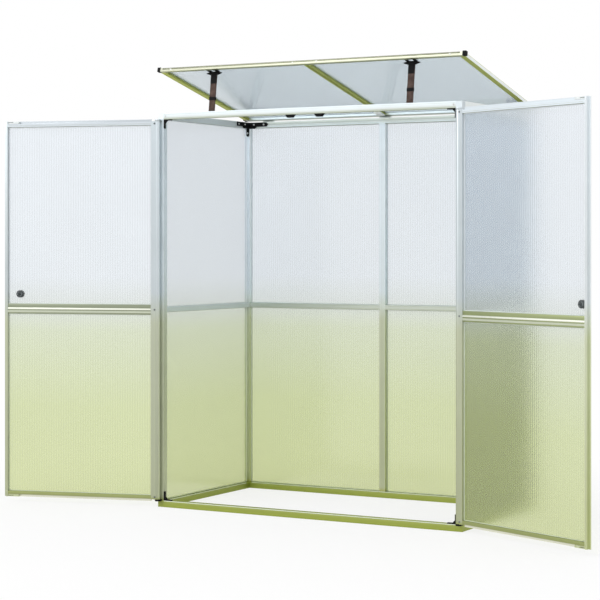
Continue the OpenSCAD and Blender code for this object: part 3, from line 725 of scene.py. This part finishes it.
# skins lying on X and Y about the origin, flutes along Y
def makeSkinTree(look):
    tree, given = newGeometryTree("flutedSkins", [
        ("Width", "Float"), ("Height", "Float"), ("Thickness", "Float"), ("Pitch", "Float"),
        ("Relief", "Float"), ("Material", "Material")])
    count = addNode(tree, "ShaderNodeMath", {"operation": "DIVIDE"},
                    {0: given["Width"], 1: given["Pitch"]})
    flutes = addNode(tree, "ShaderNodeMath", {"operation": "FLOOR"}, {0: count})
    columns = addNode(tree, "ShaderNodeMath", {"operation": "MULTIPLY_ADD"},
                      {0: flutes, 1: look["steps"], 2: 1.0})
    grid = addNode(tree, "GeometryNodeMeshGrid", None,
                   {"Size X": given["Width"], "Size Y": given["Height"],
                    "Vertices X": columns, "Vertices Y": 2})
    rise = addNode(tree, "ShaderNodeCombineXYZ", None, {2: given["Thickness"]})
    thick = addNode(tree, "GeometryNodeExtrudeMesh", {"mode": "FACES"},
                    {"Mesh": grid, "Offset": rise, "Offset Scale": 1.0, "Individual": False})
    turned = addNode(tree, "GeometryNodeFlipFaces", None, {0: grid})
    closed = addNode(tree, "GeometryNodeJoinGeometry", None, {0: thick})
    tree.links.new(turned.outputs[0], closed.inputs[0])
    whole = addNode(tree, "GeometryNodeMergeByDistance", None,
                    {"Geometry": closed, "Distance": weldDistance})
    half = addNode(tree, "ShaderNodeMath", times, {0: given["Thickness"], 1: -0.5})
    down = addNode(tree, "ShaderNodeCombineXYZ", None, {2: half})
    middle = addNode(tree, "GeometryNodeTransform", None, {"Geometry": whole, "Translation": down})
    spot = addNode(tree, "ShaderNodeSeparateXYZ", None,
                   {0: addNode(tree, "GeometryNodeInputPosition")})
    # a wave across the sheet: 1 between two flutes, -1 at the bottom of each
    wave = spot
    for operation, other in (("DIVIDE", given["Pitch"]), ("MULTIPLY", 2 * math.pi), ("COSINE", 0)):
        wave = addNode(tree, "ShaderNodeMath", {"operation": operation}, {0: wave, 1: other})
    side = addNode(tree, "ShaderNodeMath", {"operation": "SIGN"}, {0: spot.outputs[2]})
    sunk = wave
    for operation, other in (("SUBTRACT", 1.0), ("MULTIPLY", given["Relief"]), ("MULTIPLY", side)):
        sunk = addNode(tree, "ShaderNodeMath", {"operation": operation}, {0: sunk, 1: other})
    shift = addNode(tree, "ShaderNodeCombineXYZ", None, {2: sunk})
    fluted = addNode(tree, "GeometryNodeSetPosition", None, {"Geometry": middle, "Offset": shift})
    marked = addNode(tree, "GeometryNodeStoreNamedAttribute",
                     {"data_type": "FLOAT", "domain": "POINT"},
                     {"Geometry": fluted, "Name": "flute", "Value": wave})
    return endTree(tree, marked, given["Material"])


# a round bead of rubber around a rectangle on X and Y
def makeGasketTree(look):
    tree, given = newGeometryTree("gasketRing", [
        ("Width", "Float"), ("Height", "Float"), ("Radius", "Float"), ("Material", "Material")])
    path = addNode(tree, "GeometryNodeCurvePrimitiveQuadrilateral", {"mode": "RECTANGLE"},
                   {"Width": given["Width"], "Height": given["Height"]})
    section = addNode(tree, "GeometryNodeCurvePrimitiveCircle", {"mode": "RADIUS"},
                      {"Resolution": look["sides"], "Radius": given["Radius"]})
    bead = addNode(tree, "GeometryNodeCurveToMesh", None, {"Curve": path, "Profile Curve": section})
    return endTree(tree, bead, given["Material"])


skinTree, gasketTree = makeSkinTree(sheetShape), makeGasketTree(gasketShape)

# how a sheet's own X, Y and Z lie in its place: flutes upright, or to the back on the lid
lying = {
    "across": Matrix.Rotation(math.radians(90), 4, "X"),
    "deep": Matrix.Rotation(math.radians(90), 4, "Z") @ Matrix.Rotation(math.radians(90), 4, "X"),
    "flat": Matrix.Identity(4),
}
# node, body, place, how it lies, finish; the right wall's finish has painted shade, as in the shade
# of the open door
sheetSets = {
    "LeftWall": ("left_wall_panels", "frame", world, "deep", "sheet"),
    "RightWall": ("right_wall_panels", "frame", world, "deep", "shadedSheet"),
    "RearWall": ("rear_wall_panels", "frame", world, "across", "sheet"),
    "LeftDoor": ("left_door_panels", "left_door", leftDoor, "across", "sheet"),
    "RightDoor": ("right_door_panels", "right_door", rightDoor, "across", "sheet"),
    "Lid": ("lid_panels", "lid", lidShut, "flat", "lidSheet"),
}


def makeSheets(look, gasket):
    for name, (nodeName, body, place, lie, skin) in sheetSets.items():
        sheets, beads = [], []
        for low, high in partBoxes(nodeName, place):
            size = [abs(value) for value in lying[lie].to_3x3().inverted() @ (high - low)]
            spot = place @ Matrix.Translation((low + high) / 2) @ lying[lie]
            skins = treeMesh(skinTree, {
                "Width": size[0], "Height": size[1], "Thickness": size[2], "Pitch": look["pitch"],
                "Relief": look["relief"] / 2, "Material": finish[skin]})
            sheets.append(placed(skins, spot))
            inset = 2 * (look["bite"] + gasket["radius"] - gasket["sunk"])
            lift = size[2] / 2 + gasket["radius"] - gasket["sunk"]
            for side in ((1,) if lie == "flat" else (-1, 1)):
                bead = treeMesh(gasketTree, {
                    "Width": size[0] - inset, "Height": size[1] - inset,
                    "Radius": gasket["radius"], "Material": finish["bead"]})
                beads.append(placed(bead, spot @ Matrix.Translation((0, 0, side * lift))))
        piece = newObject(name + "Sheets", joinMeshes(name + "Sheets", sheets))
        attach(piece, body)
        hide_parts(nodeName)
        rubber = smoothPiece(name + "Gaskets", beads)
        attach(rubber, body)


makeSheets(sheetShape, gasketShape)
print("sheets and gaskets ready")


# knobs, turned about the spindle: a disc each side of the sheet, a wing grip and a tapered nut

knobShape = {
    "disc": 16.8 * mm,
    "edge": 1.6 * mm,
    "rim": 4.5 * mm,  # thickness of the inner disc; a neck carries it
    "stand": 13 * mm,  # how far the inner disc's face stands off the sheet
    "wing": (13 * mm, 2.6 * mm, 5 * mm),  # half length, half width, depth
    "wingEdge": 1.2 * mm,
    "wingTurn": 35,
    "spindle": 4.6 * mm,
    "spindleSides": 28,
    "nut": 6 * mm,
    "nutSteps": (2 * mm, 3 * mm),  # where the nut's edge breaks, off the inner disc
    "tip": 2.2 * mm,
    # the inlays are painted highlights of the knob's recesses
    "moons": (8 * mm, 12 * mm, 55),  # radii and half angle of the two paler inlays
    "moonPlaces": (20, 200),
    "moonDepths": (1 * mm, 0.4 * mm),  # how far an inlay is sunk and stands proud
}


# part of a flat ring between two angles, on X and Z, standing from low to high along Y
def arcMesh(inside, outside, start, end, low, high, steps=10):
    angles = [math.radians(start + (end - start) * i / steps) for i in range(steps + 1)]
    corners = [(inside, low), (outside, low), (outside, high), (inside, high)]
    points = [(r * math.cos(a), y, r * math.sin(a)) for a in angles for r, y in corners]
    faces = [(0, 1, 2, 3), tuple(4 * steps + i for i in (3, 2, 1, 0))]
    faces += [(4 * i + j, 4 * i + 4 + j, 4 * i + 4 + (j + 1) % 4, 4 * i + (j + 1) % 4)
              for i in range(steps) for j in range(4)]
    mesh = bpy.data.meshes.new("arc")
    mesh.from_pydata(points, [], faces)
    shape = bmesh.new()
    shape.from_mesh(mesh)
    bmesh.ops.recalc_face_normals(shape, faces=shape.faces)
    shape.to_mesh(mesh)
    shape.free()
    return mesh


def makeKnob(side, place, look):
    low, high = partBoxes(side + "_door_knob", place)[0]
    sheet = partBoxes(side + "_door_panels", place)[-1]
    x, z = (low.x + high.x) / 2, (low.z + high.z) / 2
    outer, inner = sheet[0].y, sheet[1].y
    r, e = look["disc"], look["edge"]
    outDisc = turnedMesh([(0, low.y), (r * 0.55, low.y), (r - e, low.y + e * 0.5),
                          (r, low.y + e * 1.4), (r, outer - e * 0.3), (r - e * 0.3, outer),
                          (0, outer)])
    back = inner + look["stand"]
    under = back - look["rim"]
    inDisc = turnedMesh([(0, inner), (r * 0.6, inner), (r * 0.7, under), (r - e * 0.3, under),
                         (r, under + e * 0.3), (r, back - e), (r - e * 0.6, back - e * 0.3),
                         (r - e * 1.5, back), (0, back)])
    shaft, nut = look["spindle"], look["nut"]
    straight, tapered = look["nutSteps"]
    spindle = turnedMesh([(0, outer), (shaft, outer), (shaft, back), (nut, back),
                          (nut, back + straight), (nut * 0.8, back + tapered),
                          (look["tip"], high.y), (0, high.y)], look["spindleSides"])
    length, half, depth = look["wing"]
    wing = boxMesh((-length, low.y, -half), (length, low.y + depth, half), look["wingEdge"])
    spot = place @ Matrix.Translation((x, 0, z))
    turn = Matrix(((1, 0, 0, 0), (0, 0, 1, 0), (0, -1, 0, 0), (0, 0, 0, 1)))  # local Z to Y
    wingTurn = Matrix.Rotation(math.radians(look["wingTurn"]), 4, "Y")
    meshes = [placed(paint(mesh, finish[key]), spot @ way) for mesh, way, key in (
        (outDisc, turn, "blackNylon"), (inDisc, turn, "smokeNylon"),
        (spindle, turn, "smokeNylon"), (wing, wingTurn, "blackNylon"))]
    inside, outside, half = look["moons"]
    sunk, proud = look["moonDepths"]
    for middle in look["moonPlaces"]:
        moon = arcMesh(inside, outside, middle - half, middle + half, back - sunk, back + proud)
        meshes.append(placed(paint(moon, finish["knobHighlightNylon"]), spot))
    piece = smoothPiece(side.capitalize() + "DoorKnob", meshes)
    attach(piece, side + "_door")
    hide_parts(side + "_door_knob")


for side, place in doors.items():
    makeKnob(side, place, knobShape)
print("knobs ready")


# ribs along the bars, screws and small fittings: one piece of each for every body
# places in mm: the frame's as it stands, the doors' from their hinge, the lid's as it lies shut,
# the stays' from their pivot


# a node's low and high side along an axis
def sides(nodeName, axis):
    return [round(corner["XYZ".index(axis)] / mm, 2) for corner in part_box(nodeName)]


front, rear = sides("front_sill", "Y")[0], sides("rear_sill", "Y")[0]  # the bars' front faces
innerX, outerX = sides("right_sill", "X")
postX, middleY = (innerX + outerX) / 2, (front + rear) / 2
sillZ, postZ, headerZ, rearRailZ, midRailZ = (
    sum(sides(name, "Z")) / 2 for name in (
        "front_sill", "front_left_post", "front_header", "rear_top_rail", "side_mid_rails"))
sillHighlightZ = 2 * sillZ - 2
doorFace, doorMiddleZ = 8.5, 895
stayLean = 7.59  # degrees off the upright
axes = {"X": across, "Y": deep, "Z": up, "-X": (-1, 0, 0), "-Y": (0, -1, 0), "-Z": (0, 0, -1)}
opposite = {"X": "-X", "-X": "X"}


def stayPlace(side):
    return (Matrix.Translation(joints[side + "_stay_pivot"]["pos_m"])
            @ Matrix.Rotation(math.radians(-stayLean), 4, "X"))


# a row that stands off the middle has its like on the other side
def bothSides(rows):
    result = []
    for (x, y, z), along, out, *rest in rows:
        result.append(((x, y, z), along, out, *rest))
        if x:
            result.append(((-x, y, z), along, opposite.get(out, out), *rest))
    return result


ribShape = {"radius": 1.3 * mm, "proud": 0.6 * mm, "sides": 10}


# round ribs along X, side by side over Y, sunk into the face at Z = 0
def makeRibTree(look):
    tree, given = newGeometryTree("ribRow", [
        ("Length", "Float"), ("Count", "Int"), ("Spacing", "Float"), ("Radius", "Float"),
        ("Proud", "Float"), ("Material", "Material")])
    ends = []
    for share in (-0.5, 0.5):
        reach = addNode(tree, "ShaderNodeMath", times, {0: given["Length"], 1: share})
        ends.append(addNode(tree, "ShaderNodeCombineXYZ", None, {0: reach}))
    line = addNode(tree, "GeometryNodeCurvePrimitiveLine", None, {"Start": ends[0], "End": ends[1]})
    section = addNode(tree, "GeometryNodeCurvePrimitiveCircle", {"mode": "RADIUS"},
                      {"Resolution": look["sides"], "Radius": given["Radius"]})
    rib = addNode(tree, "GeometryNodeCurveToMesh", None,
                  {"Curve": line, "Profile Curve": section, "Fill Caps": True})
    spaces = addNode(tree, "ShaderNodeMath", {"operation": "SUBTRACT"}, {0: given["Count"], 1: 1.0})
    span = addNode(tree, "ShaderNodeMath", times, {0: spaces, 1: given["Spacing"]})
    edge = addNode(tree, "ShaderNodeMath", times, {0: span, 1: -0.5})
    depth = addNode(tree, "ShaderNodeMath", {"operation": "SUBTRACT"},
                    {0: given["Proud"], 1: given["Radius"]})
    first = addNode(tree, "ShaderNodeCombineXYZ", None, {1: edge, 2: depth})
    step = addNode(tree, "ShaderNodeCombineXYZ", None, {1: given["Spacing"]})
    row = addNode(tree, "GeometryNodeMeshLine", {"mode": "OFFSET", "count_mode": "TOTAL"},
                  {"Count": given["Count"], "Start Location": first, "Offset": step})
    copies = addNode(tree, "GeometryNodeInstanceOnPoints", None, {"Points": row, "Instance": rib})
    return endTree(tree, copies, given["Material"])


ribTree = makeRibTree(ribShape)

# middle, along, out of the face, length, count, spacing, finish
ribSets = {
    "frame": (world, bothSides([
        ((0, front, headerZ), "X", "-Y", 1460, 2, 17, "header"),
        ((0, front, sillZ), "X", "-Y", 1460, 2, 15, "across"),
        ((0, rear, sillZ), "X", "-Y", 1440, 2, 15, "across"),
        ((0, rear, rearRailZ), "X", "-Y", 1440, 2, 11, "rearRail"),
        ((-postX, front, postZ), "Z", "-Y", 1730, 2, 14, "upright"),
        ((-postX, rear, postZ), "Z", "-Y", 1650, 3, 9, "rearPost"),
        ((0, rear, postZ), "Z", "-Y", 1730, 3, 9, "rearPost"),
        ((-innerX, middleY, sillZ), "Y", "X", 700, 2, 15, "deep"),
        ((-innerX, middleY, midRailZ), "Y", "X", 700, 2, 10, "midRail"),
        # pale lines along the sills' top front edges: painted highlights, in the bead's pale finish
        ((0, front, sillHighlightZ), "X", "-Y", 1460, 2, 1.4, "bead"),
        ((0, rear, sillHighlightZ), "X", "-Y", 1440, 2, 1.4, "bead"),
        ((-innerX, middleY, sillHighlightZ), "Y", "X", 700, 2, 1.4, "bead"),
        ((-innerX / 2, rear, midRailZ), "X", "-Y", 690, 2, 13, "across"),
    ])),
    "lid": (lidShut, bothSides([
        ((-752, 375, 1805), "Y", "-Z", 720, 2, 14, "lidDeep"),
        ((0, 370, 1805), "Y", "-Z", 740, 3, 4, "lidCore"),
        ((0, -28, 1813), "X", "-Y", 1480, 2, 9, "lidAcross"),
    ])),
}
doorRibs = [
    ((21.5, doorFace, doorMiddleZ), "Z", "Y", 1720, 2, 15, "upright"),
    ((1.5, doorFace - 0.5, doorMiddleZ), "Z", "Y", 1720, 1, 0, "seam"),
    ((735.5, doorFace, doorMiddleZ), "Z", "Y", 1720, 1, 0, "upright"),
    ((21.5, -doorFace, doorMiddleZ), "Z", "-Y", 1720, 2, 15, "upright"),
]
stayRibs = [((0, y, z), "Z", out, length, count, spacing, "strap")
            for y, out, count, spacing in ((-3, "-Y", 2, 20), (3, "Y", 3, 9))
            for z, length in ((-79, 58), (-158, 64))]
for side, place in doors.items():
    railRibs = [((381, doorFace, z), "X", "Y", 690, 1, 0, side + "Door") for z in (46.5, 1752.5)]
    ribSets[side + "_door"] = (place, doorRibs + railRibs)
    ribSets[side + "_stay"] = (stayPlace(side), stayRibs)

for body, (place, rows) in ribSets.items():
    bars = []
    for middle, along, out, length, count, spacing, key in rows:
        row = treeMesh(ribTree, {
            "Length": length * mm, "Count": count, "Spacing": spacing * mm,
            "Radius": ribShape["radius"], "Proud": ribShape["proud"], "Material": finish[key]})
        bars.append(placed(row, place @ onFace(Vector(middle) * mm, axes[along], axes[out])))
    piece = smoothPiece(body + "_ribs", bars)
    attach(piece, body)


screwShape = {
    "radius": 4.6 * mm,
    "height": 2 * mm,
    "sides": 16,
    "top": 0.68,  # these three are shares of the radius
    "slotLength": 1.1,
    "slotWidth": 0.28,
}


# pan-head screws with a cross recess on the given points, turned the way they look
def makeScrewTree(look):
    tree, given = newGeometryTree("screwSet", [
        ("Geometry", "Geometry"), ("Rotation", "Rotation"), ("Radius", "Float"),
        ("Height", "Float"), ("Material", "Material")])
    top, slotLength, slotWidth = (
        addNode(tree, "ShaderNodeMath", times, {0: given["Radius"], 1: look[part]})
        for part in ("top", "slotLength", "slotWidth"))
    head = addNode(tree, "GeometryNodeMeshCone", {"fill_type": "NGON"},
                   {"Vertices": look["sides"], "Radius Top": top, "Radius Bottom": given["Radius"],
                    "Depth": given["Height"]})
    cross = addNode(tree, "GeometryNodeMeshBoolean", {"operation": "DIFFERENCE"}, {"Mesh 1": head})
    lift = addNode(tree, "ShaderNodeCombineXYZ", None, {2: given["Height"]})
    for length, width in ((slotLength, slotWidth), (slotWidth, slotLength)):
        size = addNode(tree, "ShaderNodeCombineXYZ", None,
                       {0: length, 1: width, 2: given["Height"]})
        cube = addNode(tree, "GeometryNodeMeshCube", None, {"Size": size})
        slot = addNode(tree, "GeometryNodeTransform", None, {"Geometry": cube, "Translation": lift})
        tree.links.new(slot.outputs[0], cross.inputs["Mesh 2"])
    copies = addNode(tree, "GeometryNodeInstanceOnPoints", None,
                     {"Points": given["Geometry"], "Instance": cross,
                      "Rotation": given["Rotation"]})
    return endTree(tree, copies, given["Material"])


screwTree = makeScrewTree(screwShape)
bracketFace = rear - 3  # the rear corner brackets are 3 mm thick
sideBracketX = innerX - 3
bracketSpots = ((650, 1788.5), (706, 1788.5), (741.5, 1748))
doorScrews = [((13, doorFace, z), "Y") for z in (46, 902, 1752)]

# point, out of the face
screwSets = {
    "frame": (world, [((s * x, bracketFace, z), "-Y") for s in (-1, 1) for x, z in bracketSpots]
              + [((-s * sideBracketX, y, 1788.5), out) for s, out in ((1, "X"), (-1, "-X"))
                 for y in (642, 700)]
              + [((x + shift, 779, 1783), "Y") for x in (-642, 0, 642) for shift in (-18, 18)]
              + [((s * 722, front, 1786), "-Y") for s in (-1, 1)]),
    "left_door": (leftDoor, doorScrews),
    "right_door": (rightDoor, doorScrews),
    "lid": (lidShut, [((s * x, -28, 1813), "-Y") for s in (-1, 1) for x in (60, 700)]),
}

for body, (place, spots) in screwSets.items():
    heads = []
    for out in sorted({out for spot, out in spots}):
        points = [place @ (Vector(spot) * mm) for spot, facing in spots if facing == out]
        facing = (place.to_3x3() @ Vector(axes[out])).normalized()
        turn = facing.to_track_quat("Z", "Y").to_euler()
        steel = finish["dullSteel" if body.endswith("door") else "screwSteel"]
        heads.append(treeMesh(screwTree, {
            "Rotation": turn, "Radius": screwShape["radius"], "Height": screwShape["height"],
            "Material": steel}, points))
    piece = smoothPiece(body + "_screws", heads)
    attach(piece, body)


# slotted keys in the rails' ends beside the free stile: x, y and z spans, z from the rail's outer
# edge, and whether it is the slot
keyShape = (
    ((676, 704), (-4.4, 7), (0, 11), False), ((704, 730), (-4.4, 7), (5.5, 11), False),
    ((704, 730), (-4.4, 7), (0, 3.5), False), ((704, 730), (-4.4, 3), (3.5, 5.5), True))
keys = []
# the lower keys' grey-green is a painted reflection of a lawn; the upper keys are pale
for edge, way, nylon in ((27.5, 1, "lawnReflectionNylon"), (1771.5, -1, "paleNylon")):
    for (x0, x1), (y0, y1), heights, isSlot in keyShape:
        z0, z1 = sorted(edge + way * height for height in heights)
        keys.append(((x0, y0, z0), (x1, y1, z1), 0.6, "blackNylon" if isSlot else nylon))

# strips in the steps of the middle rails, painted shade and one painted highlight: heights, how far
# each stands out, whether it is the painted highlight
stripShape = ((908, 924.5, 6.9, False), (899.4, 906.6, 9, True), (894.6, 898.6, 7.2, False),
              (879.4, 884.6, 7.2, False))


def paintedRailStrips(band):
    return [((32, 5, low), (730, y, high), 0.4, "paintedHighlightRib" if isPaintedHighlight else band)
            for low, high, y, isPaintedHighlight in stripShape]


# low corner, high corner, bevel, finish; the lid's are the plates behind the stay brackets, a block
# at the middle bar's rear end, a dark line along the front, the pale sides and a line inside
# the lid's two dark lines are painted shade
boxSets = {
    "left_door": (leftDoor, keys + paintedRailStrips("leftBand")),
    "right_door": (rightDoor, keys + paintedRailStrips("rightBand")),
    "lid": (lidShut, [
        *(((x - 28, -10.4, 1806), (x + 28, -9, 1814.5), 0.4, "paleNylon") for x in (-498, 498)),
        ((-17, 690, 1797), (17, 740, 1805), 1.5, "whiteNylon"),
        ((-745, -28.5, 1814.2), (745, -27, 1820.8), 0.3, "lidLine"),
        ((764.4, -8, 1805.6), (765.5, 748, 1819), 0.3, "paintedLightRail"),
        ((-765.5, -8, 1805.6), (-764.4, 748, 1819), 0.3, "paintedLightRail"),
        ((-738, -12, 1804.5), (738, -10, 1806), 0.3, "lidLine")]),
}
for body, (place, boxes) in boxSets.items():
    blocks = []
    for low, high, bevel, key in boxes:
        block = boxMesh(Vector(low) * mm, Vector(high) * mm, bevel * mm)
        blocks.append(placed(paint(block, finish[key]), place))
    piece = smoothPiece(body + "_fittings", blocks)
    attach(piece, body)
print("ribs, screws and fittings ready")


print("done")
